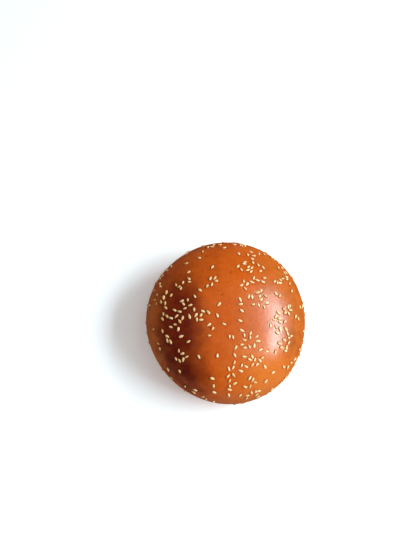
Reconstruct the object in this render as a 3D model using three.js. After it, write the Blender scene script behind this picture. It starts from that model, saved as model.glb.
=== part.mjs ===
// A round burger bun: one baked piece with a domed crust and a flat base, sprinkled with sesame seeds.
// Millimetres, +Z up. The origin is on the flat base, in the middle of the bun's own box.

import * as THREE from "three";

// The bun
const MEAN_RADIUS = 57.8;      // middle to side, at the widest ring
const HEIGHT = 50;             // base to crown
const WIDEST_HEIGHT = 17;      // base to the widest ring
const BASE_RADIUS = 41;        // the flat that it was baked and rests on
const SHOULDER_FULLNESS = 2.2; // 2 is an ellipse above the widest ring, more is a fuller shoulder
const HEEL_FULLNESS = 2.1;     // the same for the side that tucks in below it

// How far the outline is from a circle: a little longer front to back, and a little three-sided.
// Each wave has so many lobes, one of them at an angle in degrees.
const OUTLINE_WAVES = [
  { lobes: 2, depth: 0.015, towards: 90 },
  { lobes: 3, depth: 0.01, towards: 50 },
];

// Low swells that keep the crown from being a perfect dome: length, height and heading in degrees
const CROWN_SWELLS = [
  { length: 74, height: 0.7, heading: 25 },
  { length: 52, height: 0.45, heading: 112 },
];

// Facets
const SIDES = 64;
const HEEL_STEPS = 6;
const DOME_STEPS = 16;

// The seeds
const SEED_LENGTH = 3.1;
const SEED_WIDTH = 1.9;
const SEED_THICKNESS = 0.95;
const SEED_SIZE_SPREAD = 0.12; // one seed may be this much larger or smaller than another
const SEED_TAPER = 0.76;       // under 1 puts the broad part near the round end
const SEED_FULLNESS = 0.75;    // under 1 rounds both ends
const SEED_SIDES = 8;
const SEED_STEPS = 5;
const SEED_GAP = 0.3;          // between the crust and a seed's underside
const SEED_COUNT = 59;
const SEED_SPACING = 8.5;      // least distance between the middles of two seeds
const LOWEST_SEED_LIFT = 0.16; // radians round the section, above the widest ring
const SPRINKLE_SEED = 2024;

const CRUST = new THREE.MeshStandardMaterial({ color: 0xb8601f, roughness: 0.36, metalness: 0 });
const HULLED_SEED = { color: 0xf3d9a0, roughness: 0.45, metalness: 0 };

const QUARTER_TURN = Math.PI / 2;
const FULL_TURN = Math.PI * 2;
const PROBE = 0.001; // radians, for slopes

/** Evenly spread numbers from 0 to 1 that are the same on every run. */
function makeDice(start) {
  let state = start;
  return () => {
    state = (state + 0x6d2b79f5) | 0;
    let mixed = Math.imul(state ^ (state >>> 15), 1 | state);
    mixed = (mixed + Math.imul(mixed ^ (mixed >>> 7), 61 | mixed)) ^ mixed;
    return ((mixed ^ (mixed >>> 14)) >>> 0) / 2 ** 32;
  };
}

/** One point of the round section. Lift runs from -90 degrees at the base's edge to 90 at the crown. */
function sectionPoint(lift) {
  const out = Math.abs(Math.cos(lift));
  const up = Math.abs(Math.sin(lift));
  if (lift < 0) {
    const reach = BASE_RADIUS + (MEAN_RADIUS - BASE_RADIUS) * out ** (2 / HEEL_FULLNESS);
    return new THREE.Vector2(reach, WIDEST_HEIGHT * (1 - up ** (2 / HEEL_FULLNESS)));
  }
  const rise = (HEIGHT - WIDEST_HEIGHT) * up ** (2 / SHOULDER_FULLNESS);
  return new THREE.Vector2(MEAN_RADIUS * out ** (2 / SHOULDER_FULLNESS), WIDEST_HEIGHT + rise);
}

/** Moves a point of the round bun to where it is on the real, slightly uneven one. */
function bake(point) {
  const angle = Math.atan2(point.y, point.x);
  let stretch = 1;
  for (const { lobes, depth, towards } of OUTLINE_WAVES) {
    stretch += depth * Math.cos(lobes * (angle - THREE.MathUtils.degToRad(towards)));
  }
  point.x *= stretch;
  point.y *= stretch;
  const climb = Math.max(0, (point.z - WIDEST_HEIGHT) / (HEIGHT - WIDEST_HEIGHT));
  for (const { length, height, heading } of CROWN_SWELLS) {
    const along = point.x * Math.cos(THREE.MathUtils.degToRad(heading))
      + point.y * Math.sin(THREE.MathUtils.degToRad(heading));
    point.z += climb * height * Math.sin((FULL_TURN * along) / length);
  }
  return point;
}

/** The point of the crust at a turn round the bun and a lift round its section. */
function crustPoint(turn, lift) {
  const section = sectionPoint(lift);
  return bake(new THREE.Vector3(section.x * Math.cos(turn), section.x * Math.sin(turn), section.y));
}

/** The outward direction of the crust there. */
function crustNormal(turn, lift) {
  const here = crustPoint(turn, lift);
  const round = crustPoint(turn + PROBE, lift).sub(here);
  const upward = crustPoint(turn, lift + PROBE).sub(here);
  return round.cross(upward).normalize();
}

/** The bun itself: its section turned about the upright axis, then made uneven. */
function makeBun() {
  const profile = [new THREE.Vector2(0, 0), new THREE.Vector2(BASE_RADIUS / 2, 0)];
  for (let step = 0; step < HEEL_STEPS; step += 1) {
    profile.push(sectionPoint(-QUARTER_TURN * (1 - step / HEEL_STEPS)));
  }
  for (let step = 0; step < DOME_STEPS; step += 1) {
    profile.push(sectionPoint((QUARTER_TURN * step) / DOME_STEPS));
  }
  profile.push(new THREE.Vector2(0, HEIGHT));

  const geometry = new THREE.LatheGeometry(profile, SIDES);
  geometry.rotateX(QUARTER_TURN);
  const corners = geometry.attributes.position;
  const corner = new THREE.Vector3();
  for (let index = 0; index < corners.count; index += 1) {
    bake(corner.fromBufferAttribute(corners, index));
    corners.setXYZ(index, corner.x, corner.y, corner.z);
  }
  geometry.computeVertexNormals();

  const bun = new THREE.Mesh(geometry, CRUST);
  bun.name = "bun";
  return bun;
}

/** A flattened teardrop along +X, with its round end behind and its point ahead. */
function makeSeedGeometry(size) {
  const profile = [];
  for (let step = 0; step <= SEED_STEPS; step += 1) {
    const share = step / SEED_STEPS;
    const atEnd = step === 0 || step === SEED_STEPS;
    const bulge = atEnd ? 0 : Math.sin(Math.PI * share ** SEED_TAPER) ** SEED_FULLNESS;
    profile.push(new THREE.Vector2((SEED_WIDTH / 2) * bulge, SEED_LENGTH * (share - 0.5)));
  }
  const geometry = new THREE.LatheGeometry(profile, SEED_SIDES);
  geometry.rotateZ(-QUARTER_TURN);
  geometry.scale(size, size, (size * SEED_THICKNESS) / SEED_WIDTH);
  return geometry;
}

/** One seed, lying on the crust at a turn and a lift, and spun about the crust's own direction. */
function makeSeed(name, turn, lift, spin, size) {
  const seed = new THREE.Mesh(makeSeedGeometry(size), new THREE.MeshStandardMaterial(HULLED_SEED));
  seed.name = name;
  const normal = crustNormal(turn, lift);
  const standing = new THREE.Quaternion().setFromUnitVectors(new THREE.Vector3(0, 0, 1), normal);
  const spinning = new THREE.Quaternion().setFromAxisAngle(normal, spin);
  seed.quaternion.copy(spinning.multiply(standing));
  const stand = SEED_GAP + (size * SEED_THICKNESS) / 2;
  seed.position.copy(crustPoint(turn, lift)).addScaledVector(normal, stand);
  return seed;
}

/** Seeds thrown at random over the dome, where no other seed lies too near. */
function sprinkleSeeds() {
  const roll = makeDice(SPRINKLE_SEED);
  const seeds = [];
  while (seeds.length < SEED_COUNT) {
    const turn = roll() * FULL_TURN;
    const height = roll();
    const lift = LOWEST_SEED_LIFT + Math.asin(height) * (1 - LOWEST_SEED_LIFT / QUARTER_TURN);
    const spin = roll() * FULL_TURN;
    const size = 1 + SEED_SIZE_SPREAD * (2 * roll() - 1);
    const number = String(seeds.length + 1).padStart(2, "0");
    const seed = makeSeed(`sesame_seed_${number}`, turn, lift, spin, size);
    if (seeds.every((other) => other.position.distanceTo(seed.position) > SEED_SPACING)) {
      seeds.push(seed);
    }
  }
  return seeds;
}

const burgerBun = new THREE.Group();
burgerBun.add(makeBun(), ...sprinkleSeeds());

// The outline is uneven, so its box is centred on the origin last.
const middle = new THREE.Box3().setFromObject(burgerBun, true).getCenter(new THREE.Vector3());
burgerBun.position.set(-middle.x, -middle.y, 0);

export default burgerBun;
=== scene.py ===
"""A sesame burger bun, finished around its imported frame.

The bun is one baked piece: a domed crust with a tucked-in side and a flat, matte underside.
Hulled sesame seeds lie pressed into its egg wash, in the clumps, rows and small handfuls that a
baker's hand leaves.
Lengths are metres, +Z is up, and every place is worked out from the frame's own boxes.
"""

from __future__ import annotations

import logging
import math
import random
from dataclasses import dataclass, field
from enum import Enum

import bmesh
import bpy
import numpy as np
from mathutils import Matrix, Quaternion, Vector, noise
from mathutils.bvhtree import BVHTree
from mathutils.kdtree import KDTree

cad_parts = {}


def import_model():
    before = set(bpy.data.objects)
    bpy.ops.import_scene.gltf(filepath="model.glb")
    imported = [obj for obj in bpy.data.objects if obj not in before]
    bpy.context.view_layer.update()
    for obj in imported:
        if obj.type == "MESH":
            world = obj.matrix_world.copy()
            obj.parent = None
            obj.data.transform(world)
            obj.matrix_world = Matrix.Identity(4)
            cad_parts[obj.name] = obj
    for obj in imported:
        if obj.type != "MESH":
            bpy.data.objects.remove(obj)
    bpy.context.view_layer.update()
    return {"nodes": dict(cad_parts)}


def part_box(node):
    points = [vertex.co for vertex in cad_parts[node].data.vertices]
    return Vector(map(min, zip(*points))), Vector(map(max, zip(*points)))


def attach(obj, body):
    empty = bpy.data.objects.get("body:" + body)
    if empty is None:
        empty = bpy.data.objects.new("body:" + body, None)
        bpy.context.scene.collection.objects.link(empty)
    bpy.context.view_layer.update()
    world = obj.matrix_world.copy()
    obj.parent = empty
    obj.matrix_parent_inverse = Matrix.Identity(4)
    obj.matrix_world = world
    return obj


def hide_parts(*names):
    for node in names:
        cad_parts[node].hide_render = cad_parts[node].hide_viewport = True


LOG = logging.getLogger("burger_bun")
MM = 0.001
FULL_TURN = 2 * math.pi
UP = Vector((0, 0, 1))

Colour = tuple[float, float, float]
Feed = object  # a node socket, or the number, colour or vector that one is set to


# ---- Shape of the bun ----


@dataclass(frozen=True)
class OutlineWave:
    """One wave of the outline's departure from a circle.

    Attributes:
        lobes: how many times it swells on one turn.
        depth: how far it swells, as a share of the radius.
        towards: where one of its lobes points, in degrees from +X towards +Y.
    """

    lobes: int
    depth: float
    towards: float


@dataclass(frozen=True)
class CrownSwell:
    """One low swell that keeps the crown from being a perfect dome.

    Attributes:
        length: from crest to crest.
        height: of a crest.
        heading: the way it runs, in degrees from +X towards +Y.
    """

    length: float
    height: float
    heading: float


@dataclass
class BunForm:
    """The bun's smooth shape: a round section turned about the upright axis, then made uneven.

    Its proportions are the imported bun's. fit() gives it that bun's size and place.

    Attributes:
        mean_radius: middle to side, at the widest ring.
        height: base to crown.
        widest_height: base to the widest ring.
        base_radius: of the flat that it rests on.
        shoulder_fullness: 2 is an ellipse above the widest ring, more is a fuller shoulder.
        heel_fullness: the same for the side that tucks in below it.
        outline_waves: how the outline departs from a circle.
        crown_swells: how the crown departs from a dome.
        scale: along each axis, set by fit().
        shift: along each axis, set by fit().
    """

    mean_radius: float = 57.8 * MM
    height: float = 50 * MM
    widest_height: float = 17 * MM
    base_radius: float = 41 * MM
    shoulder_fullness: float = 2.2
    heel_fullness: float = 2.1
    outline_waves: tuple[OutlineWave, ...] = (
        OutlineWave(2, 0.015, 90),
        OutlineWave(3, 0.01, 50),
    )
    crown_swells: tuple[CrownSwell, ...] = (
        CrownSwell(74 * MM, 0.7 * MM, 25),
        CrownSwell(52 * MM, 0.45 * MM, 112),
    )
    scale: np.ndarray = field(default_factory=lambda: np.ones(3))
    shift: np.ndarray = field(default_factory=lambda: np.zeros(3))
    section_steps: int = 1200

    def __post_init__(self) -> None:
        """Works out the section once, with its points evenly spaced along it."""
        lift = np.linspace(-math.pi / 2, math.pi / 2, self.section_steps)
        out, up = np.abs(np.cos(lift)), np.abs(np.sin(lift))
        heel = lift < 0
        tuck = self.mean_radius - self.base_radius
        heel_reach = self.base_radius + tuck * out ** (2 / self.heel_fullness)
        heel_rise = self.widest_height * (1 - up ** (2 / self.heel_fullness))
        dome_reach = self.mean_radius * out ** (2 / self.shoulder_fullness)
        dome_height = self.height - self.widest_height
        dome_rise = self.widest_height + dome_height * up ** (2 / self.shoulder_fullness)
        reach = np.concatenate([[0.0], np.where(heel, heel_reach, dome_reach)])
        rise = np.concatenate([[0.0], np.where(heel, heel_rise, dome_rise)])
        reach[-1] = 0.0
        run = np.concatenate([[0.0], np.cumsum(np.hypot(np.diff(reach), np.diff(rise)))])
        self.section_share = run / run[-1]
        self.section_reach = reach
        self.section_rise = rise

    def bake(self, points: np.ndarray) -> np.ndarray:
        """Moves points of the round bun to where they are on the uneven one.

        Args:
            points: an array of points, one to a row.

        Returns:
            The moved points.
        """
        angle = np.arctan2(points[:, 1], points[:, 0])
        stretch = np.ones(len(points))
        for wave in self.outline_waves:
            stretch += wave.depth * np.cos(wave.lobes * (angle - math.radians(wave.towards)))
        baked = points.copy()
        baked[:, :2] *= stretch[:, None]
        climb = np.clip((points[:, 2] - self.widest_height) / (self.height - self.widest_height), 0, None)
        for swell in self.crown_swells:
            heading = math.radians(swell.heading)
            along = baked[:, 0] * math.cos(heading) + baked[:, 1] * math.sin(heading)
            baked[:, 2] += climb * swell.height * np.sin(FULL_TURN * along / swell.length)
        return baked

    def place(self, turn: np.ndarray, share: np.ndarray) -> np.ndarray:
        """Finds points of the bun.

        Args:
            turn: angles round the bun, in radians from +X.
            share: how far along the section, from 0 at the middle of the base to 1 at the crown.

        Returns:
            The points, in the frame.
        """
        reach = np.interp(share, self.section_share, self.section_reach)
        rise = np.interp(share, self.section_share, self.section_rise)
        points = np.stack([reach * np.cos(turn), reach * np.sin(turn), rise], axis=1)
        return self.bake(points) * self.scale + self.shift

    def wrap(self, directions: np.ndarray) -> np.ndarray:
        """Lays a sphere's unit directions on the bun, evenly along its section."""
        turn = np.arctan2(directions[:, 1], directions[:, 0])
        share = np.arccos(np.clip(-directions[:, 2], -1, 1)) / math.pi
        return self.place(turn, share)

    def share_at_reach(self, reach: float) -> float:
        """How far along the section the dome is this far out from the middle."""
        dome = self.section_rise >= self.widest_height
        order = np.argsort(self.section_reach[dome])
        return float(np.interp(reach, self.section_reach[dome][order], self.section_share[dome][order]))

    def fit(self, low: Vector, high: Vector) -> BunForm:
        """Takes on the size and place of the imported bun.

        Args:
            low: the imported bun's lowest corner.
            high: its highest corner.

        Returns:
            The form itself.
        """
        turn, share = np.meshgrid(np.linspace(0, FULL_TURN, 721), np.linspace(0, 1, 201))
        points = self.place(turn.ravel(), share.ravel())
        size = points.max(axis=0) - points.min(axis=0)
        self.scale = (np.array(high) - np.array(low)) / size
        self.shift = np.array(low) - points.min(axis=0) * self.scale
        return self


@dataclass(frozen=True)
class Spot:
    """A place on the dome, told by a clock face laid on it and by how far out it is.

    Attributes:
        hour: with 12 towards +Y and 3 towards +X.
        out: how far from the middle, as a share of the bun's radius.
    """

    hour: float
    out: float

    def on(self, form: BunForm) -> Vector:
        """Its place from the bun's middle, along +X and +Y."""
        turn = math.radians(90 - 30 * self.hour)
        return Vector((math.cos(turn), math.sin(turn), 0)) * self.out * form.mean_radius


@dataclass(frozen=True)
class ReliefLayer:
    """One layer of the crust's unevenness.

    Attributes:
        size: across one lump.
        height: of the lumps, either way.
        octaves: of finer lumps on the lumps.
        only_low: whether it shows on the lower side alone, where the crust stays soft.
    """

    size: float
    height: float
    octaves: int
    only_low: bool = False


class BlemishKind(Enum):
    """What a small mark in the crust is."""

    SEED_SCAR = "a dent where a seed fell off"
    BLISTER = "a small bubble under the egg wash"
    CREASE = "a shallow fold in the dough"


@dataclass(frozen=True)
class BlemishHabit:
    """How one kind of small mark turns up in the crust.

    Attributes:
        kind: what the marks are.
        count: how many there are.
        length: of a middling one.
        width: of a middling one.
        depth: of a dent, or less than nothing for a bump.
    """

    kind: BlemishKind
    count: int
    length: float
    width: float
    depth: float


# ---- Seeds ----


@dataclass
class Seed:
    """One seed as it lies on the crust.

    Attributes:
        foot: the point of the crust under its middle.
        normal: the way the crust faces there.
        heading: from its round end to its tip, along the crust.
        length: end to end.
        width: across its broad part.
        thickness: of its broad part.
        bend: how far its middle stands off the line between its ends.
        tone: from 0, cream, to 1, well toasted.
    """

    foot: Vector
    normal: Vector
    heading: Vector
    length: float
    width: float
    thickness: float
    bend: float
    tone: float

    def spine(self) -> np.ndarray:
        """Three points along its middle line, for keeping seeds apart."""
        half_core = self.heading * (self.length - self.width) / 2
        return np.array([self.foot - half_core, self.foot, self.foot + half_core])


@dataclass(frozen=True)
class Clump:
    """Seeds that fell close together: where, and how many."""

    middle: Spot
    seeds: int


@dataclass(frozen=True)
class Row:
    """Seeds that fell in a line: from where to where, and how many."""

    start: Spot
    end: Spot
    seeds: int


@dataclass(frozen=True)
class BareStretch:
    """A stretch of crust that few seeds fell on: its middle, and its radius as a share of the bun's."""

    middle: Spot
    radius: float


class Crust:
    """The crust as the seeds find it: its surface, to drop things on."""

    def __init__(self, form: BunForm, mesh: bpy.types.Mesh) -> None:
        """Keeps the form and a search tree of the mesh."""
        self.form = form
        corners = [vertex.co for vertex in mesh.vertices]
        self.tree = BVHTree.FromPolygons(corners, [tuple(face.vertices) for face in mesh.polygons])

    def drop(self, across: float, along: float) -> tuple[Vector, Vector] | None:
        """Lets something fall straight down on the bun.

        Args:
            across: from the bun's middle along +X.
            along: from the bun's middle along +Y.

        Returns:
            Where it lands and the way the crust faces there, or None if it misses.
        """
        start = Vector((across + self.form.shift[0], along + self.form.shift[1], 2 * self.form.height))
        landed, facing, _, _ = self.tree.ray_cast(start, -UP)
        return None if landed is None or facing.z < 0.05 else (landed, facing)

    def nearest(self, point: Vector) -> tuple[Vector, Vector]:
        """The nearest point of the crust, and the way it faces there."""
        landed, facing, _, _ = self.tree.find_nearest(point)
        return landed, facing


@dataclass
class Sprinkle:
    """How the seeds lie: those of the frame first, then rows, clumps and handfuls over the rest of the dome.

    Attributes:
        clumps: the close clusters.
        rows: the lines of seeds.
        bare: where few handfuls fall.
        total: how many seeds there are in all.
        length: of a middling seed.
        width: of a middling seed.
        thickness: of a middling seed.
        closeness: how near two seeds' sides may come, as a share of their width.
        clump_spread: how far from its middle most of a middling clump lies.
        row_spread: how far out of line a row's seeds lie.
        handful_spread: how far apart the seeds of a handful fall.
        handfuls: how many seeds fall together, each as likely as the next.
        row_slack: how far along the row a seed may be out of step, in steps.
        row_swing: how far most seeds of a row point away from it, in radians.
        clump_of: how many seeds a clump of that spread has.
        clump_tries: how many throws each seed of a clump may take.
        lowest: how far below the widest ring seeds lie, as a share of the section.
        bare_share: how many seeds still fall on a bare stretch.
        bare_core: how far out it stays bare, as a share of its radius.
        bare_edge: how quickly seeds return beyond that.
        size_spread: of the seeds' sizes.
        shape_spread: of their length and width apart.
        thickness_spread: of their thickness.
        bend: how far most of them bend, in millimetres.
        tilt: how far most of them lean to a side, in radians.
        tone: of a middling seed, from 0, cream, to 1, well toasted.
        tone_spread: of their tones.
        fuller_side: how much more thickly they lie towards +X.
        toasting_and_shade: how much browner the seeds are towards -X, toasted darker there and with painted
            shade on the side away from the window light.
        toasted_shaded_side: how far out along -X that side is.
        toasted_shaded_from: where the browning starts, as a share of that.
        tries: how often a seed of a row is dropped again when there is no room for it.
        start: of the random draws.
    """

    clumps: tuple[Clump, ...] = (
        Clump(Spot(1, 0.6), 8),
        Clump(Spot(1.5, 0.3), 6),
        Clump(Spot(2.5, 0.4), 6),
        Clump(Spot(3, 0.7), 5),
        Clump(Spot(3.5, 0.6), 5),
        Clump(Spot(4, 0.75), 6),
        Clump(Spot(5, 0.4), 9),
        Clump(Spot(5, 0.65), 8),
        Clump(Spot(5.5, 0.9), 9),
        Clump(Spot(7.5, 0.75), 5),
        Clump(Spot(8.5, 0.6), 6),
        Clump(Spot(8.5, 0.35), 8),
        Clump(Spot(9, 0.5), 4),
        Clump(Spot(10, 0.6), 6),
        Clump(Spot(11, 0.35), 3),
    )
    rows: tuple[Row, ...] = (
        Row(Spot(5.75, 0.5), Spot(6, 0.95), 10),
        Row(Spot(2, 0.65), Spot(2, 0.85), 6),
        Row(Spot(9.5, 0.75), Spot(8.75, 0.75), 6),
    )
    bare: tuple[BareStretch, ...] = (
        BareStretch(Spot(12, 0.4), 0.25),
        BareStretch(Spot(7, 0.7), 0.25),
        BareStretch(Spot(4, 0.4), 0.2),
    )
    total: int = 340
    length: float = 3.15 * MM
    width: float = 1.6 * MM
    thickness: float = 0.95 * MM
    closeness: float = 0.9
    clump_spread: float = 2.4 * MM
    row_spread: float = 0.6 * MM
    handful_spread: float = 2.2 * MM
    handfuls: tuple[int, ...] = (1, 1, 1, 2, 3)
    row_slack: float = 0.25
    row_swing: float = 0.6
    clump_of: int = 5
    clump_tries: int = 40
    lowest: float = 0.045
    bare_share: float = 0.08
    bare_core: float = 0.75
    bare_edge: float = 3.0
    size_spread: float = 0.07
    shape_spread: float = 0.05
    thickness_spread: float = 0.08
    bend: float = 0.06
    tilt: float = 0.12
    tone: float = 0.3
    tone_spread: float = 0.16
    fuller_side: float = 0.1
    toasting_and_shade: float = 0.35
    toasted_shaded_side: float = 36 * MM
    toasted_shaded_from: float = 0.4
    tries: int = 8
    start: int = 7

    def __post_init__(self) -> None:
        """Sets out the dice and an empty bun."""
        self.dice = random.Random(self.start)
        self.seeds: list[Seed] = []

    def shaped(self, foot: Vector, normal: Vector, heading: Vector) -> Seed:
        """A seed of its own size and tone.

        Args:
            foot: where it lies on the crust.
            normal: the way the crust faces there.
            heading: roughly the way its tip points.

        Returns:
            The seed.
        """
        flat_heading = (heading - normal * heading.dot(normal)).normalized()
        lean = Quaternion(flat_heading, self.dice.gauss(0, self.tilt)) @ normal
        lengthwise = (flat_heading - lean * flat_heading.dot(lean)).normalized()
        size = self.dice.gauss(1, self.size_spread)
        # Seeds towards -X are browner: toasted darker there, with painted shade on the side away from the
        # window light.
        toasted_shaded = min(1.0, max(0.0, -foot.x / self.toasted_shaded_side - self.toasted_shaded_from))
        seed = Seed(
            foot=foot,
            normal=lean,
            heading=lengthwise,
            length=self.length * size * self.dice.gauss(1, self.shape_spread),
            width=self.width * size * self.dice.gauss(1, self.shape_spread),
            thickness=self.thickness * self.dice.gauss(1, self.thickness_spread),
            bend=self.dice.gauss(0, self.bend) * MM,
            tone=self.dice.gauss(self.tone, self.tone_spread) + self.toasting_and_shade * toasted_shaded,
        )
        seed.tone = min(1.0, max(0.0, seed.tone))
        return seed

    def any_heading(self, normal: Vector) -> Vector:
        """A random way along the crust."""
        sideways = normal.orthogonal().normalized()
        return Quaternion(normal, self.dice.uniform(0, FULL_TURN)) @ sideways

    def has_room(self, seed: Seed) -> bool:
        """Whether a seed would lie clear of all the others."""
        if not self.seeds:
            return True
        others = np.concatenate([other.spine() for other in self.seeds])
        gaps = np.linalg.norm(seed.spine()[:, None, :] - others[None, :, :], axis=2)
        return bool(gaps.min() > self.width * self.closeness)

    def lay(self, landed: tuple[Vector, Vector] | None, heading: Vector | None = None) -> bool:
        """Lays a seed where something landed, if there is room.

        Args:
            landed: a point of the crust and the way it faces, or None.
            heading: roughly the way its tip points, or None for any way.

        Returns:
            Whether a seed now lies there.
        """
        if landed is None:
            return False
        foot, normal = landed
        seed = self.shaped(foot, normal, heading or self.any_heading(normal))
        if not self.has_room(seed):
            return False
        self.seeds.append(seed)
        return True

    def settle_frame_seeds(self, crust: Crust, nodes: dict[str, bpy.types.Object]) -> None:
        """Lays the frame's own seeds, each under its node and the same way round.

        Args:
            crust: the surface that they lie on.
            nodes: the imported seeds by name.
        """
        for name in sorted(nodes):
            low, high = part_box(name)
            foot, normal = crust.nearest((low + high) / 2)
            corners = np.array([vertex.co for vertex in nodes[name].data.vertices])
            spread = corners - corners.mean(axis=0)
            lengthwise = np.linalg.svd(spread, full_matrices=False)[2][0]
            reach = spread @ lengthwise
            tipward = lengthwise if reach.max() > -reach.min() else -lengthwise
            self.seeds.append(self.shaped(foot, normal, Vector(tipward)))

    def lay_clump(self, crust: Crust, clump: Clump) -> None:
        """Lays the seeds of one close cluster, each where there is room."""
        middle = clump.middle.on(crust.form)
        spread = self.clump_spread * math.sqrt(clump.seeds / self.clump_of)
        laid, throws = 0, 0
        while laid < clump.seeds and throws < self.clump_tries * clump.seeds:
            throws += 1
            across = self.dice.gauss(middle.x, spread)
            along = self.dice.gauss(middle.y, spread)
            laid += self.lay(crust.drop(across, along))

    def lay_row(self, crust: Crust, row: Row) -> None:
        """Lays the seeds of one line, most of them pointing roughly along it."""
        start = row.start.on(crust.form)
        way = row.end.on(crust.form) - start
        for step in range(row.seeds):
            for _ in range(self.tries):
                slack = self.dice.uniform(-self.row_slack, self.row_slack)
                spot = start + way * ((step + slack) / max(1, row.seeds - 1))
                across = self.dice.gauss(spot.x, self.row_spread)
                along = self.dice.gauss(spot.y, self.row_spread)
                heading = Quaternion(UP, self.dice.gauss(0, self.row_swing)) @ way
                if self.lay(crust.drop(across, along), heading):
                    break

    def chance_at(self, spot: Vector, form: BunForm) -> float:
        """How likely seeds are to fall somewhere.

        Args:
            spot: the place, from the bun's middle.
            form: the bun's shape.

        Returns:
            The likelihood, from 0 to about 1.
        """
        out = math.hypot(spot.x, spot.y) / form.mean_radius
        chance = out * (1 + self.fuller_side * (spot.x / form.mean_radius - 1))
        for stretch in self.bare:
            middle = stretch.middle.on(form)
            radius = stretch.radius * form.mean_radius
            gap = math.hypot(spot.x - middle.x, spot.y - middle.y) / radius
            chance *= min(1.0, self.bare_share + max(0.0, gap - self.bare_core) * self.bare_edge)
        return chance

    def lay_handfuls(self, crust: Crust) -> None:
        """Scatters a few seeds at a time over the dome, until there are enough."""
        form = crust.form
        lowest = form.share_at_reach(form.mean_radius) - self.lowest
        while len(self.seeds) < self.total:
            turn, share = self.dice.uniform(0, FULL_TURN), self.dice.uniform(lowest, 1)
            landing = form.place(np.array([turn]), np.array([share]))[0]
            if self.dice.random() > self.chance_at(Vector(landing - form.shift), form):
                continue
            for _ in range(self.dice.choice(self.handfuls)):
                astray = Vector([self.dice.gauss(0, self.handful_spread) for _ in range(3)])
                self.lay(crust.nearest(Vector(landing) + astray))

    def throw(self, crust: Crust, nodes: dict[str, bpy.types.Object]) -> list[Seed]:
        """Lays every seed.

        Args:
            crust: the surface that they lie on.
            nodes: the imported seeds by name.

        Returns:
            The seeds, the frame's own first.
        """
        self.settle_frame_seeds(crust, nodes)
        for row in self.rows:
            self.lay_row(crust, row)
        for clump in self.clumps:
            self.lay_clump(crust, clump)
        self.lay_handfuls(crust)
        return self.seeds


# ---- Finishes ----


class Sum(Enum):
    """What an arithmetic node does."""

    ADD = "ADD"
    TAKE = "SUBTRACT"
    TIMES = "MULTIPLY"
    OVER = "DIVIDE"
    LARGER = "MAXIMUM"
    POWER = "POWER"


class Blend(Enum):
    """How two colours are put together."""

    MIX = "MIX"
    MULTIPLY = "MULTIPLY"


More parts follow.
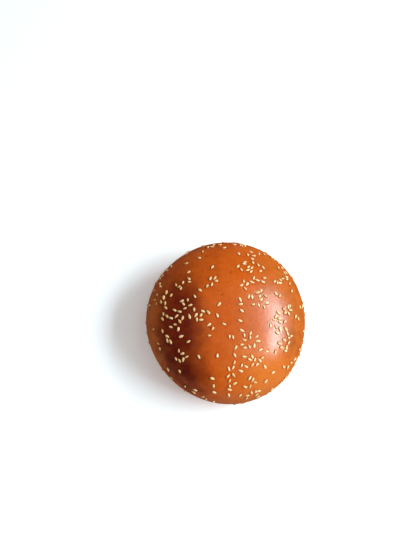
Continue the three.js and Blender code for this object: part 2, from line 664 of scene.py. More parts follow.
class NodeBench:
    """The workbench for one material: it holds the shader, and adds and links what feeds it."""

    def __init__(self, name: str) -> None:
        """Makes a new material with only a shader in it."""
        self.material = bpy.data.materials.new(name)
        self.material.use_nodes = True
        self.tree = self.material.node_tree
        self.tree.nodes.clear()
        self.shader = self.tree.nodes.new("ShaderNodeBsdfPrincipled")
        output = self.tree.nodes.new("ShaderNodeOutputMaterial")
        self.tree.links.new(self.shader.outputs["BSDF"], output.inputs["Surface"])

    def feed(self, socket: bpy.types.NodeSocket, value: Feed) -> None:
        """Links a socket to another, or sets it to a value."""
        if isinstance(value, bpy.types.NodeSocket):
            self.tree.links.new(value, socket)
        elif isinstance(value, tuple) and len(value) == 3 and socket.type == "RGBA":
            socket.default_value = (*value, 1.0)
        else:
            socket.default_value = value

    def place(self) -> bpy.types.NodeSocket:
        """Where a point is on the object."""
        return self.tree.nodes.new("ShaderNodeTexCoord").outputs["Object"]

    def attribute(self, name: str) -> bpy.types.NodeSocket:
        """A number that the mesh holds at each point."""
        node = self.tree.nodes.new("ShaderNodeAttribute")
        node.attribute_name = name
        return node.outputs["Fac"]

    def parts(self, vector: Feed) -> tuple[bpy.types.NodeSocket, ...]:
        """A vector's three parts."""
        node = self.tree.nodes.new("ShaderNodeSeparateXYZ")
        self.feed(node.inputs[0], vector)
        return tuple(node.outputs)

    def shifted(self, vector: Feed, offset: tuple[float, float, float], scale: float) -> bpy.types.NodeSocket:
        """A vector moved, then scaled.

        Args:
            vector: what to move.
            offset: what is added to it.
            scale: what the sum is multiplied by.

        Returns:
            The new vector.
        """
        add = self.tree.nodes.new("ShaderNodeVectorMath")
        add.operation = "ADD"
        self.feed(add.inputs[0], vector)
        self.feed(add.inputs[1], offset)
        grow = self.tree.nodes.new("ShaderNodeVectorMath")
        grow.operation = "SCALE"
        self.feed(grow.inputs[0], add.outputs[0])
        grow.inputs["Scale"].default_value = scale
        return grow.outputs[0]

    def sum(self, kind: Sum, first: Feed, second: Feed) -> bpy.types.NodeSocket:
        """One sum of two numbers."""
        node = self.tree.nodes.new("ShaderNodeMath")
        node.operation = kind.value
        self.feed(node.inputs[0], first)
        self.feed(node.inputs[1], second)
        return node.outputs[0]

    def ease(
        self, value: Feed, low: Feed, high: Feed, to_low: float = 0, to_high: float = 1
    ) -> bpy.types.NodeSocket:
        """Turns a value smoothly from one level to another as it goes from low to high.

        Args:
            value: what is read.
            low: the value where the turn starts.
            high: the value where it ends.
            to_low: the result at and before the start.
            to_high: the result at and after the end.

        Returns:
            The result.
        """
        node = self.tree.nodes.new("ShaderNodeMapRange")
        node.interpolation_type = "SMOOTHSTEP"
        self.feed(node.inputs["Value"], value)
        self.feed(node.inputs["From Min"], low)
        self.feed(node.inputs["From Max"], high)
        self.feed(node.inputs["To Min"], to_low)
        self.feed(node.inputs["To Max"], to_high)
        return node.outputs["Result"]

    def mottle(
        self, place: Feed, size: float, detail: float = 2, roughness: float = 0.5
    ) -> bpy.types.NodeSocket:
        """Cloudy noise from about 0.2 to 0.8.

        Args:
            place: where it is read, in millimetres.
            size: across one cloud, in millimetres.
            detail: how many finer clouds there are on the clouds.
            roughness: how strong those are.

        Returns:
            The noise.
        """
        node = self.tree.nodes.new("ShaderNodeTexNoise")
        self.feed(node.inputs["Vector"], place)
        node.inputs["Scale"].default_value = 1 / size
        node.inputs["Detail"].default_value = detail
        node.inputs["Roughness"].default_value = roughness
        return node.outputs["Fac"]

    def sway(
        self, place: Feed, size: float, swing: float, detail: float = 2, roughness: float = 0.5
    ) -> bpy.types.NodeSocket:
        """Cloudy noise that sways either side of nothing.

        Args:
            place: where it is read, in millimetres.
            size: across one cloud, in millimetres.
            swing: how far it goes either way.
            detail: how many finer clouds there are on the clouds.
            roughness: how strong those are.

        Returns:
            The noise.
        """
        return self.ease(self.mottle(place, size, detail, roughness), 0.3, 0.7, -swing, swing)

    def specks(self, place: Feed, spacing: float, radius: float) -> bpy.types.NodeSocket:
        """Small dots at random places.

        Args:
            place: where they are read, in millimetres.
            spacing: from one dot to the next, in millimetres.
            radius: of a dot, in millimetres.

        Returns:
            1 in a dot, 0 outside it.
        """
        node = self.tree.nodes.new("ShaderNodeTexVoronoi")
        self.feed(node.inputs["Vector"], place)
        node.inputs["Scale"].default_value = 1 / spacing
        return self.ease(node.outputs["Distance"], radius / spacing, 0.35 * radius / spacing)

    def ramp(self, value: Feed, stops: tuple[tuple[float, Colour], ...]) -> bpy.types.NodeSocket:
        """A colour for each value, from stops of a place and a colour."""
        node = self.tree.nodes.new("ShaderNodeValToRGB")
        self.feed(node.inputs["Fac"], value)
        elements = node.color_ramp.elements
        while len(elements) < len(stops):
            elements.new(0.5)
        for element, (position, colour) in zip(elements, stops):
            element.position = position
            element.color = (*colour, 1.0)
        return node.outputs["Color"]

    def colours(self, kind: Blend, share: Feed, first: Feed, second: Feed) -> bpy.types.NodeSocket:
        """Two colours put together.

        Args:
            kind: how.
            share: how much of the second.
            first: the colour under it.
            second: the colour on it.

        Returns:
            The colour that they make.
        """
        node = self.tree.nodes.new("ShaderNodeMix")
        node.data_type = "RGBA"
        node.blend_type = kind.value
        self.feed(node.inputs[0], share)
        self.feed(node.inputs[6], first)
        self.feed(node.inputs[7], second)
        return node.outputs[2]

    def bump(self, height: Feed, depth: float, under: Feed | None = None) -> bpy.types.NodeSocket:
        """A fine relief of the surface.

        Args:
            height: from 0 to 1.
            depth: of the relief, in metres.
            under: the relief that it lies on, if any.

        Returns:
            The surface's direction.
        """
        node = self.tree.nodes.new("ShaderNodeBump")
        node.inputs["Distance"].default_value = depth
        self.feed(node.inputs["Height"], height)
        if under is not None:
            self.feed(node.inputs["Normal"], under)
        return node.outputs["Normal"]


@dataclass(frozen=True)
class BrowningAndLightPatch:
    """A stretch of crust that is darker or lighter than the rest. Some hold real oven browning, some painted
    shade and some painted light; the comment by each one says which.

    Attributes:
        middle: its middle.
        half_width: half its width along +X, as a share of the bun's radius.
        half_length: half its length along +Y, as a share of the bun's radius.
        browning: what it adds to the browning.
    """

    middle: Spot
    half_width: float
    half_length: float
    browning: float


@dataclass(frozen=True)
class CrustFinish:
    """Egg-washed crust: satin orange-brown, mahogany on the -X side, where darker baking and painted shade
    lie together, pale and dull below.

    Attributes:
        browning: the browning of the dome, from 0 to 1.
        side_browning: the browning of the lower side.
        tone_and_light_patches: where the dome is darker or lighter: oven browning, with painted shade on the
            -X and +X sides and painted light towards -Y.
        patch_core: how far out a patch keeps its full browning, next to its edge at 1.
        patch_reach: how far out it fades to nothing.
        raggedness: how uneven its edge is.
        dome_from: the height where the dome's browning starts, in millimetres.
        dome_to: the height where it is full, in millimetres.
        wash_and_shade_browning: what the darker ring round a seed adds: pooled egg wash, with painted shade
            at the seed's foot.
        dent_shade_browning: what the painted shade in the dents of seed scars and creases adds.
        grain: how much lighter and darker the crust's fine grain is.
        freckle: the colour of a freckle, over the crust's.
        freckle_strength: how strong the freckles are.
        pore_depth: of the crust's pores.
        crazing_depth: of the tray's marks in the underside.
        golden_side: where, in millimetres along +X, the crust is more golden than russet.
        golden_rim: the same on the other side, beyond the darker patch on -X.
        russet_shades: the colour of each browning, on the russet side.
        golden_shades: the same on the golden side.
        underside_shades: the colours of the underside, from its palest to its brownest.
        gloss: the roughness of the dome.
        dullness: the roughness of the lower side.
        underside_dullness: the roughness of the underside.
        refraction: the refractive index of the dried egg wash.
    """

    browning: float = 0.50
    side_browning: float = 0.26
    tone_and_light_patches: tuple[BrowningAndLightPatch, ...] = (
        # -X side, away from the window light: darker, partly oven browning and partly painted shade.
        BrowningAndLightPatch(Spot(8.25, 0.6), 0.2, 0.55, 0.5),
        # Towards -Y on the -X half: darker, partly oven browning and partly painted shade.
        BrowningAndLightPatch(Spot(6.75, 0.9), 0.15, 0.2, 0.25),
        # +X side, under the window light: painted shade that tones its light down.
        BrowningAndLightPatch(Spot(3, 0.85), 0.35, 0.8, 0.15),
        # Towards -Y: painted light, lighter where less light falls.
        BrowningAndLightPatch(Spot(5.25, 0.8), 0.35, 0.25, -0.15),
    )
    patch_core: float = 0.25
    patch_reach: float = 1.9
    raggedness: float = 0.7
    dome_from: float = 7.0
    dome_to: float = 40.0
    wash_and_shade_browning: float = 0.10
    dent_shade_browning: float = 0.20
    grain: float = 0.12
    freckle: Colour = (0.45, 0.3, 0.2)
    freckle_strength: float = 0.45
    pore_depth: float = 0.07 * MM
    crazing_depth: float = 0.5 * MM
    golden_side: float = 28
    golden_rim: float = -49
    russet_shades: tuple[tuple[float, Colour], ...] = (
        (0.0, (0.68, 0.31, 0.06)),
        (0.25, (0.67, 0.16, 0.016)),
        (0.5, (0.60, 0.092, 0.002)),
        (0.72, (0.33, 0.045, 0.001)),
        (1.0, (0.14, 0.008, 0.0)),
    )
    golden_shades: tuple[tuple[float, Colour], ...] = (
        (0.0, (0.70, 0.34, 0.06)),
        (0.25, (0.67, 0.175, 0.018)),
        (0.5, (0.58, 0.122, 0.007)),
        (0.72, (0.34, 0.068, 0.003)),
        (1.0, (0.14, 0.02, 0.001)),
    )
    underside_shades: tuple[tuple[float, Colour], ...] = (
        (0.3, (0.42, 0.20, 0.065)),
        (0.5, (0.27, 0.105, 0.028)),
        (0.7, (0.13, 0.045, 0.012)),
    )
    gloss: float = 0.32
    dullness: float = 0.5
    underside_dullness: float = 0.8
    refraction: float = 1.57

    def browning_and_light_on_dome(self, bench: NodeBench, place: Feed, form: BunForm) -> bpy.types.NodeSocket:
        """How brown the dome is, with the painted shade and painted light of its patches added in.

        Args:
            bench: the material's workbench.
            place: where it is read, in millimetres from the bun's middle.
            form: the bun's shape.

        Returns:
            The browning, from 0 to 1.
        """
        across, along, _ = bench.parts(place)
        clouds = bench.mottle(place, 15, detail=3, roughness=0.55)
        radius = form.mean_radius / MM
        total = self.browning
        for patch in self.tone_and_light_patches:
            middle = patch.middle.on(form) / MM
            half_width, half_length = patch.half_width * radius, patch.half_length * radius
            sideways = bench.sum(Sum.OVER, bench.sum(Sum.TAKE, across, middle.x), half_width)
            lengthways = bench.sum(Sum.OVER, bench.sum(Sum.TAKE, along, middle.y), half_length)
            square = bench.sum(
                Sum.ADD,
                bench.sum(Sum.TIMES, sideways, sideways),
                bench.sum(Sum.TIMES, lengthways, lengthways),
            )
            outward = bench.sum(Sum.POWER, square, 0.5)
            unevenness = bench.sum(Sum.TIMES, bench.sum(Sum.TAKE, clouds, 0.5), self.raggedness)
            ragged = bench.sum(Sum.ADD, outward, unevenness)
            # Each patch adds its own darkening or lightening here: oven browning together with painted shade
            # and painted light.
            patch_tone_and_light = bench.ease(ragged, self.patch_reach, self.patch_core, 0.0, patch.browning)
            total = bench.sum(Sum.ADD, total, patch_tone_and_light)
        broad = bench.sway(place, 26, 0.05)
        middling = bench.sway(place, 4.5, 0.035, detail=4, roughness=0.6)
        return bench.sum(Sum.ADD, total, bench.sum(Sum.ADD, broad, middling))

    def material(self, form: BunForm) -> bpy.types.Material:
        """Makes the material.

        Args:
            form: the shape of the bun that it covers.

        Returns:
            The material.
        """
        bench = NodeBench("egg_washed_crust")
        place = bench.shifted(bench.place(), tuple(-float(part) for part in form.shift), 1 / MM)
        height = bench.parts(place)[2]
        clouds = bench.mottle(place, 9, detail=3)
        wander = bench.ease(clouds, 0.25, 0.75, -4.0, 4.0)
        level = bench.sum(Sum.ADD, height, wander)
        on_dome = bench.ease(level, self.dome_from, self.dome_to)
        ragged_height = bench.sum(Sum.ADD, height, bench.ease(clouds, 0.3, 0.7, -0.4, 0.4))
        on_underside = bench.ease(ragged_height, 1.6, 0.5)

        browning = self.browning_and_light_on_dome(bench, place, form)
        low = bench.sum(Sum.ADD, self.side_browning, bench.sway(place, 6, 0.1, detail=3))
        mixed = bench.sum(
            Sum.ADD,
            bench.sum(Sum.TIMES, browning, on_dome),
            bench.sum(Sum.TIMES, low, bench.sum(Sum.TAKE, 1.0, on_dome)),
        )
        # The darker ring round each seed: pooled egg wash, with painted shade at the seed's foot.
        wash = bench.attribute("wash")
        # Painted shade in the dents of seed scars and creases.
        dent_shade = bench.attribute("dent_shade")
        mixed = bench.sum(Sum.ADD, mixed, bench.sum(Sum.TIMES, wash, self.wash_and_shade_browning))
        mixed = bench.sum(Sum.ADD, mixed, bench.sum(Sum.TIMES, dent_shade, self.dent_shade_browning))
        across = bench.sum(Sum.ADD, bench.parts(place)[0], bench.sum(Sum.TIMES, wander, 2.0))
        golden = bench.sum(
            Sum.LARGER,
            bench.ease(across, self.golden_side - 30, self.golden_side + 15),
            bench.ease(across, self.golden_rim + 10, self.golden_rim - 8),
        )
        russet_crust = bench.ramp(mixed, self.russet_shades)
        colour = bench.colours(Blend.MIX, golden, russet_crust, bench.ramp(mixed, self.golden_shades))
        grain = bench.mottle(place, 1.1, detail=5, roughness=0.7)
        lightness = bench.ease(grain, 0.25, 0.75, 1 - self.grain, 1 + self.grain)
        grainy = bench.tree.nodes.new("ShaderNodeVectorMath")
        grainy.operation = "SCALE"
        bench.feed(grainy.inputs[0], colour)
        bench.feed(grainy.inputs["Scale"], lightness)
        freckles = bench.sum(Sum.TIMES, bench.specks(place, 1.9, 0.16), bench.ease(clouds, 0.45, 0.7))
        share = bench.sum(Sum.TIMES, freckles, self.freckle_strength)
        colour = bench.colours(Blend.MULTIPLY, share, grainy.outputs[0], self.freckle)

        tray_marks = bench.mottle(place, 5, detail=6, roughness=0.65)
        underside = bench.ramp(tray_marks, self.underside_shades)
        colour = bench.colours(Blend.MIX, on_underside, colour, underside)

        dome_gloss = bench.sum(Sum.ADD, self.gloss, bench.sway(place, 3, 0.035, detail=4))
        rough = bench.ease(on_dome, 0.0, 1.0, self.dullness, 0.0)
        rough = bench.sum(Sum.ADD, rough, bench.sum(Sum.TIMES, dome_gloss, on_dome))
        rough = bench.sum(Sum.LARGER, rough, bench.sum(Sum.TIMES, on_underside, self.underside_dullness))

        pores = bench.mottle(place, 0.55, detail=4, roughness=0.6)
        pore_depth = bench.sum(Sum.TIMES, pores, bench.ease(on_dome, 0.0, 1.0, 1.0, 0.35))
        relief = bench.bump(pore_depth, self.pore_depth)
        crazing = bench.sum(Sum.TIMES, tray_marks, on_underside)
        relief = bench.bump(crazing, self.crazing_depth, relief)

        bench.feed(bench.shader.inputs["Base Color"], colour)
        bench.feed(bench.shader.inputs["Roughness"], rough)
        bench.feed(bench.shader.inputs["Normal"], relief)
        bench.shader.inputs["IOR"].default_value = self.refraction
        return bench.material


@dataclass(frozen=True)
class SeedFinish:
    """Hulled sesame: cream to light gold, a little browner at the tip, smooth and slightly waxy.

    Attributes:
        shades: the colour of each tone.
        gloss: its roughness.
        glow: how much light comes through it.
    """

    shades: tuple[tuple[float, Colour], ...] = (
        (0.0, (0.92, 0.64, 0.34)),
        (0.35, (0.90, 0.55, 0.24)),
        (0.7, (0.72, 0.40, 0.13)),
        (1.0, (0.45, 0.20, 0.055)),
    )
    gloss: float = 0.42
    glow: float = 0.15

    def material(self) -> bpy.types.Material:
        """Makes the material."""
        bench = NodeBench("hulled_sesame")
        place = bench.shifted(bench.place(), (0.0, 0.0, 0.0), 1 / MM)
        clouds = bench.sway(place, 0.8, 0.12, detail=4, roughness=0.6)
        tone = bench.sum(Sum.ADD, bench.attribute("tone"), clouds)
        tip = bench.ease(bench.attribute("tipward"), 0.72, 1.0, 0.0, 0.3)
        colour = bench.ramp(bench.sum(Sum.ADD, tone, tip), self.shades)
        gloss = bench.ease(bench.mottle(place, 0.4), 0.3, 0.7, self.gloss - 0.06, self.gloss + 0.08)
        bench.feed(bench.shader.inputs["Base Color"], colour)
        bench.feed(bench.shader.inputs["Roughness"], gloss)
        bench.feed(bench.shader.inputs["Normal"], bench.bump(bench.mottle(place, 0.22, detail=3), 0.02 * MM))
        bench.shader.inputs["Subsurface Weight"].default_value = self.glow
        bench.shader.inputs["Subsurface Radius"].default_value = (1.0, 0.6, 0.3)
        bench.shader.inputs["Subsurface Scale"].default_value = 0.5 * MM
        return bench.material


@dataclass(frozen=True)
class TableFinish:
    """A plain pale table top, lit a little from within so that shadows on it stay soft.

    Attributes:
        pale: its lighter shade.
        shaded: its darker shade.
        glow: the brightness that it gives off itself.
    """

    pale: Colour = (0.90, 0.90, 0.895)
    shaded: Colour = (0.875, 0.875, 0.87)
    glow: float = 0.2

    def material(self) -> bpy.types.Material:
        """Makes the material."""
        bench = NodeBench("pale_table")
        place = bench.shifted(bench.place(), (0.0, 0.0, 0.0), 1 / MM)
        clouds = bench.mottle(place, 90, detail=2)
        colour = bench.colours(Blend.MIX, clouds, self.pale, self.shaded)
        bench.feed(bench.shader.inputs["Base Color"], colour)
        bench.shader.inputs["Roughness"].default_value = 0.9
        bench.shader.inputs["Specular IOR Level"].default_value = 0.2
        bench.shader.inputs["Emission Color"].default_value = (1.0, 1.0, 1.0, 1.0)
        bench.shader.inputs["Emission Strength"].default_value = self.glow
        return bench.material


# ---- Pieces ----


def smooth_object(name: str, mesh: bpy.types.Mesh, material: bpy.types.Material) -> bpy.types.Object:
    """Puts a mesh in the scene, smoothly shaded.

    Args:
        name: what the object is called.
        mesh: its mesh.
        material: its finish.

    Returns:
        The object.
    """
    mesh.name = name
    mesh.materials.append(material)
    mesh.polygons.foreach_set("use_smooth", np.ones(len(mesh.polygons), bool))
    piece = bpy.data.objects.new(name, mesh)
    bpy.context.scene.collection.objects.link(piece)
    return piece


def hold_numbers(mesh: bpy.types.Mesh, name: str, numbers: np.ndarray) -> None:
    """Keeps a number at each point of a mesh, for its finish to read."""
    attribute = mesh.attributes.new(name, "FLOAT", "POINT")
    attribute.data.foreach_set("value", numbers.astype(np.float32))


@dataclass
class Bun:
    """The baked bun: its crust, marks and all, as one closed skin.

    Attributes:
        form: its smooth shape.
        finish: of its crust.
        cuts: how finely the skin is cut, along each side of the block that it is wrapped from.
        relief: the layers of its unevenness.
        blemishes: how each kind of small mark turns up.
        blemish_start: of the random draws for them.
        low_side: the height below which the lower side's own relief starts.
        low_side_fade: how much further down that is full.
        lump_falloff: how much weaker each finer octave of lumps is.
        lump_step: how much smaller it is.
        underneath: how far down a point faces that counts as underneath.
        press: how deep a seed presses into it.
        press_edge: how far out the dent ends, where the seed's edge is at 1.
        press_slope: how far in from there it is full.
        lip: how high the crust stands round a seed.
        lip_out: how far out that stands highest.
        lip_width: of the lip.
        wash_shade_edge: how far out the darker ring round a seed ends: pooled egg wash, with painted shade at
            its foot.
        wash_shade_slope: how far in from there it is full.
        hollow_falloff: how quickly a small mark fades outwards.
        crease_shade_share: how much painted shade a crease gets, next to a fallen seed's dent.
    """

    form: BunForm
    finish: CrustFinish = field(default_factory=CrustFinish)
    cuts: int = 119
    relief: tuple[ReliefLayer, ...] = (
        ReliefLayer(26 * MM, 0.2 * MM, 1),
        ReliefLayer(9 * MM, 0.05 * MM, 2),
        ReliefLayer(2.4 * MM, 0.03 * MM, 3),
        ReliefLayer(1.7 * MM, 0.09 * MM, 3, only_low=True),
    )
    blemishes: tuple[BlemishHabit, ...] = (
        BlemishHabit(BlemishKind.SEED_SCAR, 7, 2.6 * MM, 1.6 * MM, 0.3 * MM),
        BlemishHabit(BlemishKind.CREASE, 3, 6 * MM, 0.9 * MM, 0.1 * MM),
        BlemishHabit(BlemishKind.BLISTER, 5, 1.8 * MM, 1.5 * MM, -0.2 * MM),
    )
    blemish_start: int = 5
    low_side: float = 24 * MM
    low_side_fade: float = 14 * MM
    lump_falloff: float = 0.8
    lump_step: float = 2.1
    underneath: float = 0.97
    press: float = 0.22 * MM
    press_edge: float = 1.25
    press_slope: float = 0.6
    lip: float = 0.05 * MM
    lip_out: float = 1.35
    lip_width: float = 0.22
    wash_shade_edge: float = 1.9
    wash_shade_slope: float = 0.9
    hollow_falloff: float = 1.6
    crease_shade_share: float = 0.25

    def wrapped_block(self) -> bpy.types.Mesh:
        """A finely cut block wrapped round the bun's form, so that its facets are all about one size."""
        block = bmesh.new()
        bmesh.ops.create_cube(block, size=2)
        bmesh.ops.subdivide_edges(block, edges=block.edges[:], cuts=self.cuts, use_grid_fill=True)
        mesh = bpy.data.meshes.new("bun_skin")
        block.to_mesh(mesh)
        block.free()
        corners = self.corners(mesh)
        spread = np.tan(corners * math.pi / 4)
        directions = spread / np.linalg.norm(spread, axis=1)[:, None]
        self.move_corners(mesh, self.form.wrap(directions))
        return mesh

    @staticmethod
    def corners(mesh: bpy.types.Mesh) -> np.ndarray:
        """Where a mesh's points are."""
        flat = np.empty(len(mesh.vertices) * 3, np.float32)
        mesh.vertices.foreach_get("co", flat)
        return flat.reshape(-1, 3).astype(float)

    @staticmethod
    def normals(mesh: bpy.types.Mesh) -> np.ndarray:
        """The way a mesh faces at its points."""
        flat = np.empty(len(mesh.vertices) * 3, np.float32)
        mesh.vertex_normals.foreach_get("vector", flat)
        return flat.reshape(-1, 3).astype(float)

    @staticmethod
    def move_corners(mesh: bpy.types.Mesh, corners: np.ndarray) -> None:
        """Moves a mesh's points."""
        mesh.vertices.foreach_set("co", corners.astype(np.float32).ravel())
        mesh.update()

    def roughen(self, mesh: bpy.types.Mesh) -> None:
        """Gives the smooth skin the uneven relief of a baked crust, and keeps its underside on the floor."""
        corners, normals = self.corners(mesh), self.normals(mesh)
        low_side = np.clip((self.low_side - corners[:, 2]) / self.low_side_fade, 0, 1)
        rise = np.zeros(len(corners))
        for index, layer in enumerate(self.relief):
            start = Vector((17.0 * index, 5.0, 9.0))
            spots = [start + Vector(corner) / layer.size for corner in corners]
            habit = (self.lump_falloff, self.lump_step, layer.octaves)
            lumps = np.array([noise.fractal(spot, *habit) for spot in spots])
            rise += layer.height * lumps * (low_side if layer.only_low else 1.0)
        underneath = normals[:, 2] < -self.underneath
        rise[underneath] = -np.abs(rise[underneath])
        moved = corners + normals * rise[:, None]
        moved[:, 2] = np.maximum(moved[:, 2], 0.0)
        self.move_corners(mesh, moved)

    def mark(self, mesh: bpy.types.Mesh, crust: Crust, seeds: list[Seed]) -> None:
        """Presses the seeds and the small marks into the skin, and keeps where they are for its finish, which
        darkens the ring round each seed with pooled egg wash and painted shade, and paints shade in the
        dents.

        Args:
            mesh: the skin.
            crust: the surface that they lie on.
            seeds: every seed.
        """
        corners, normals = self.corners(mesh), self.normals(mesh)
        finder = KDTree(len(corners))
        for index, corner in enumerate(corners):
            finder.insert(corner, index)
        finder.balance()
        rise, wash, dent_shade = (np.zeros(len(corners)) for _ in range(3))

        for seed in seeds:
            oval = (seed.foot, seed.normal, seed.heading, seed.length, seed.width)
            near, outward = self.around(finder, corners, *oval)
            dent = np.clip(self.press_edge - outward, 0, self.press_slope) / self.press_slope
            rise[near] -= self.press * dent
            rise[near] += self.lip * np.exp(-(((outward - self.lip_out) / self.lip_width) ** 2))
            # The darker ring round each seed: pooled egg wash, with painted shade at the seed's foot.
            wash_shade_ring = np.clip(self.wash_shade_edge - outward, 0, self.wash_shade_slope) / self.wash_shade_slope
            wash[near] = np.maximum(wash[near], wash_shade_ring)

        dice = random.Random(self.blemish_start)
        for habit in [habit for habit in self.blemishes for _ in range(habit.count)]:
            spot = Spot(dice.uniform(0, 12), math.sqrt(dice.uniform(0, 0.8))).on(self.form)
            heading = Quaternion(UP, dice.uniform(0, FULL_TURN)) @ Vector((1, 0, 0))
            size = dice.gauss(1, 0.12)
            landed = crust.drop(spot.x, spot.y)
            if landed is None:
                continue
            foot, facing = landed
            length, width = habit.length * size, habit.width * size
            near, outward = self.around(finder, corners, foot, facing, heading, length, width)
            hollow = np.exp(-(outward**2) * self.hollow_falloff)
            rise[near] -= habit.depth * hollow
            # Seed scars and creases get painted shade, as deep as their dents.
            if habit.kind is BlemishKind.SEED_SCAR:
                dent_shade[near] = np.maximum(dent_shade[near], hollow)
            elif habit.kind is BlemishKind.CREASE:
                dent_shade[near] = np.maximum(dent_shade[near], self.crease_shade_share * hollow)

        self.move_corners(mesh, corners + normals * rise[:, None])
        hold_numbers(mesh, "wash", wash)
        hold_numbers(mesh, "dent_shade", dent_shade)

    @staticmethod
    def around(
        finder: KDTree,
        corners: np.ndarray,
        foot: Vector,
        facing: Vector,
        heading: Vector,
        length: float,
        width: float,
    ) -> tuple[np.ndarray, np.ndarray]:
        """Finds the skin's points round an oval mark.

        Args:
            finder: the search tree of the points.
            corners: the points.
            foot: the mark's middle.
            facing: the way the crust faces there.
            heading: the way the mark's length runs.
            length: of the mark.
            width: of the mark.

        Returns:
            The points' numbers, and how far out each is: 1 on the mark's edge.
        """
        near = np.array([index for _, index, _ in finder.find_range(foot, length * 1.3)], int)
        lengthwise = (heading - facing * heading.dot(facing)).normalized()
        sideways = facing.cross(lengthwise)
        away = corners[near] - np.array(foot)
        along, across = away @ np.array(lengthwise), away @ np.array(sideways)
        outward = np.hypot(along / (length / 2), across / (width / 2))
        return near, outward

    def bake(
        self, sprinkle: Sprinkle, seed_nodes: dict[str, bpy.types.Object]
    ) -> tuple[bpy.types.Object, list[Seed]]:
        """Makes the bun, with the seeds' places pressed into it.

        Args:
            sprinkle: how the seeds lie.
            seed_nodes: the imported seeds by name.

        Returns:
            The bun, and its seeds as they lie.
        """
        mesh = self.wrapped_block()
        self.roughen(mesh)
        crust = Crust(self.form, mesh)
        seeds = sprinkle.throw(crust, seed_nodes)
        self.mark(mesh, crust, seeds)
        piece = smooth_object("bun_crust", mesh, self.finish.material(self.form))
        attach(piece, "root")
        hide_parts("bun")
        return piece, seeds


@dataclass
class SesameSeeds:
    """All the seeds as one piece: flattened teardrops, each of its own size, bend and tone.

    Attributes:
        seeds: the seeds as they lie.
        finish: of their skins.
        rings: of points along a seed.
        sides: points in a ring.
        taper: under 1 puts the broad part near the round end.
        fullness: under 1 rounds both ends.
        sink: the share of its thickness that a seed sinks into the crust.
    """

    seeds: list[Seed]
    finish: SeedFinish = field(default_factory=SeedFinish)
    rings: int = 13
    sides: int = 14
    taper: float = 0.76
    fullness: float = 0.72
    sink: float = 0.22

    def faces(self) -> list[tuple[int, ...]]:
        """One seed's faces: a fan at each end and bands between."""
        last = self.rings * self.sides
        found: list[tuple[int, ...]] = []
        for side in range(self.sides):
            after = (side + 1) % self.sides
            found.append((last, after, side))
            found.append((last + 1, last - self.sides + side, last - self.sides + after))
            for ring in range(self.rings - 1):
                here, ahead = ring * self.sides, (ring + 1) * self.sides
                found.append((here + side, here + after, ahead + after, ahead + side))
        return found

    def corners(self, seed: Seed) -> tuple[np.ndarray, np.ndarray]:
        """One seed's points.

        Args:
            seed: the seed as it lies.

        Returns:
            Its points in the frame, and how far each is from the round end, from 0 to 1.
        """
        share = (1 - np.cos(math.pi * np.arange(1, self.rings + 1) / (self.rings + 1))) / 2
        angle = FULL_TURN * np.arange(self.sides) / self.sides
        bulge = np.sin(math.pi * share**self.taper) ** self.fullness
        along = np.repeat((share - 0.5) * seed.length, self.sides)
        broad = np.outer(bulge * seed.width / 2, np.cos(angle)).ravel()
        thick = np.outer(bulge * seed.thickness / 2, np.sin(angle)).ravel()
        broad += np.repeat(seed.bend * np.sin(math.pi * share), self.sides)
        ends = np.array([[-seed.length / 2, 0, 0], [seed.length / 2, 0, 0]])
        local = np.concatenate([np.stack([along, broad, thick], axis=1), ends])
        axes = np.array([seed.heading, seed.normal.cross(seed.heading), seed.normal])
        middle = seed.foot + seed.normal * seed.thickness * (0.5 - self.sink)
        return local @ axes + np.array(middle), np.concatenate([np.repeat(share, self.sides), [0.0, 1.0]])

    def make(self, seed_nodes: dict[str, bpy.types.Object]) -> bpy.types.Object:
        """Makes the piece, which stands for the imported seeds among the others.

        Args:
            seed_nodes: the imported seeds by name.

        Returns:
            The piece.
        """
        one_seed = np.array(self.faces(), object)
        corners, tipward, tones, faces = [], [], [], []
        for seed in self.seeds:
            points, shares = self.corners(seed)
            first = len(points) * len(corners)
            faces += [tuple(first + index for index in face) for face in one_seed]
            corners.append(points)
            tipward.append(shares)
            tones.append(np.full(len(points), seed.tone))
        mesh = bpy.data.meshes.new("seed_skins")
        mesh.from_pydata(np.concatenate(corners).tolist(), [], faces)
        hold_numbers(mesh, "tone", np.concatenate(tones))
        hold_numbers(mesh, "tipward", np.concatenate(tipward))
        piece = smooth_object("sesame_seeds", mesh, self.finish.material())
        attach(piece, "root")
        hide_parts(*sorted(seed_nodes))
        return piece


# ---- Studio ----


@dataclass(frozen=True)
class SoftBox:
    """A flat soft light, aimed at the bun.

    Attributes:
        name: what it is called.
        bearing: where it stands, in degrees from +X towards +Y.
        lift: how high it stands, in degrees above the table.
        distance: from the bun.
        width: of its face.
        height: of its face.
        brightness: of its face, next to a white surface's as it is shown.
        colour: of its light.
        mirrored: whether it shows in glossy things, as a window does, or only fills shadows.
    """

    name: str
    bearing: float
    lift: float
    distance: float
    width: float
    height: float
    brightness: float
    colour: Colour
    mirrored: bool

    def hang(self, target: Vector) -> bpy.types.Object:
        """Puts the light in the scene, aimed at a point."""
        lamp = bpy.data.lights.new(self.name, "AREA")
        lamp.shape = "RECTANGLE"
        lamp.size, lamp.size_y = self.width, self.height
        lamp.energy = self.brightness * math.pi * self.width * self.height
        lamp.color = self.colour
        bearing, lift = math.radians(self.bearing), math.radians(self.lift)
        level = math.cos(lift)
        away = Vector((math.cos(bearing) * level, math.sin(bearing) * level, math.sin(lift)))
        light = bpy.data.objects.new(self.name, lamp)
        light.visible_glossy = self.mirrored
        light.location = target + away * self.distance
        light.rotation_mode = "QUATERNION"
        light.rotation_quaternion = (-away).to_track_quat("-Z", "Y")
        bpy.context.scene.collection.objects.link(light)
        return light


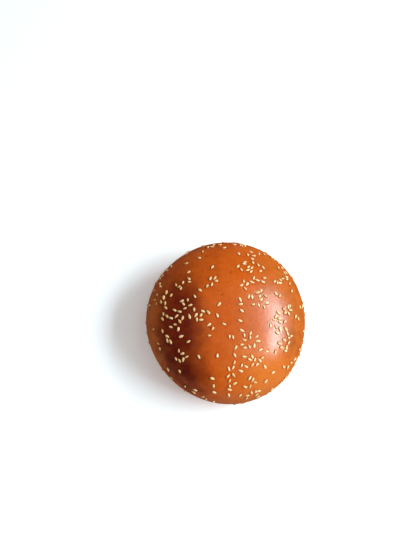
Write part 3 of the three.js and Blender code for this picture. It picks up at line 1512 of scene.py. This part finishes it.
@dataclass
class Studio:
    """A plain pale table, soft light and a camera that looks steeply down on the bun.

    Attributes:
        form: the bun's shape, which the camera and lights are aimed by.
        lights: the soft boxes.
        room_light: the strength of the light from all round.
        table_side: of the square table top.
        lens: of the camera, in millimetres.
        sensor: the long side of the camera's sensor, in millimetres.
        pitch: how steeply the camera looks down, in degrees.
        depth: from the camera to the bun's widest ring, along its line of sight.
        aside: how far right of the view's middle the bun stands, as a slope.
        below: how far below the view's middle it stands, as a slope.
    """

    form: BunForm
    lights: tuple[SoftBox, ...] = (
        SoftBox("window_light", -1, 39, 1.5, 1.2, 0.46, 18.5, (0.85, 1.0, 1.07), True),
        SoftBox("ceiling_glow", -6, 60, 1.4, 1.3, 0.9, 1.2, (1.0, 1.0, 1.0), True),
        SoftBox("overhead_fill", 150, 75, 1.3, 1.8, 1.8, 0.2, (1.0, 1.0, 1.0), False),
    )
    room_light: float = 0.2
    table_side: float = 4.0
    lens: float = 27.0
    sensor: float = 36.0
    pitch: float = 68.8
    depth: float = 298.5 * MM
    aside: float = 0.047
    below: float = 0.1067

    def lay_table(self) -> bpy.types.Object:
        """A plain flat table top under the bun."""
        half = self.table_side / 2
        mesh = bpy.data.meshes.new("table")
        corners = [(-half, -half, 0), (half, -half, 0), (half, half, 0), (-half, half, 0)]
        mesh.from_pydata(corners, [], [(0, 1, 2, 3)])
        table = smooth_object("table_top", mesh, TableFinish().material())
        table.visible_glossy = False
        return table

    def light_room(self) -> None:
        """Even, neutral light from all round, and the soft boxes."""
        world = bpy.data.worlds.new("pale_room")
        world.use_nodes = True
        background = world.node_tree.nodes["Background"]
        background.inputs["Color"].default_value = (1.0, 1.0, 1.0, 1.0)
        background.inputs["Strength"].default_value = self.room_light
        world.cycles_visibility.glossy = False
        bpy.context.scene.world = world
        target = Vector(self.form.shift) + UP * self.form.height / 2
        for box in self.lights:
            box.hang(target)

    def set_camera(self) -> bpy.types.Object:
        """A camera that looks steeply down along +Y, with the bun a little right of and below its middle."""
        lens = bpy.data.cameras.new("camera")
        lens.lens = self.lens
        lens.sensor_width = self.sensor
        lens.clip_start = 10 * MM
        camera = bpy.data.objects.new("camera", lens)
        pitch = math.radians(self.pitch)
        forward = Vector((0, math.cos(pitch), -math.sin(pitch)))
        right = Vector((1, 0, 0))
        upward = right.cross(forward)
        sight = forward + right * self.aside - upward * self.below
        ring = Vector(self.form.shift) + UP * self.form.widest_height
        camera.location = ring - sight * self.depth
        camera.rotation_mode = "QUATERNION"
        camera.rotation_quaternion = forward.to_track_quat("-Z", "Y")
        bpy.context.scene.collection.objects.link(camera)
        bpy.context.scene.camera = camera
        return camera

    def set_up(self) -> None:
        """Sets up the whole studio."""
        self.lay_table()
        self.light_room()
        self.set_camera()
        bpy.context.scene.view_settings.view_transform = "Standard"


def main() -> None:
    """Loads the frame, then makes the bun, its seeds and the studio, and reports each piece."""
    logging.basicConfig(level=logging.INFO, format="%(message)s")
    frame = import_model()
    seed_nodes = {name: node for name, node in frame["nodes"].items() if name != "bun"}

    form = BunForm().fit(*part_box("bun"))
    bun, seeds = Bun(form).bake(Sprinkle(), seed_nodes)
    LOG.info("%s: %d faces", bun.name, len(bun.data.polygons))
    sesame = SesameSeeds(seeds).make(seed_nodes)
    LOG.info("%s: %d seeds, %d faces", sesame.name, len(seeds), len(sesame.data.polygons))
    Studio(form).set_up()


if __name__ == "__main__":
    main()
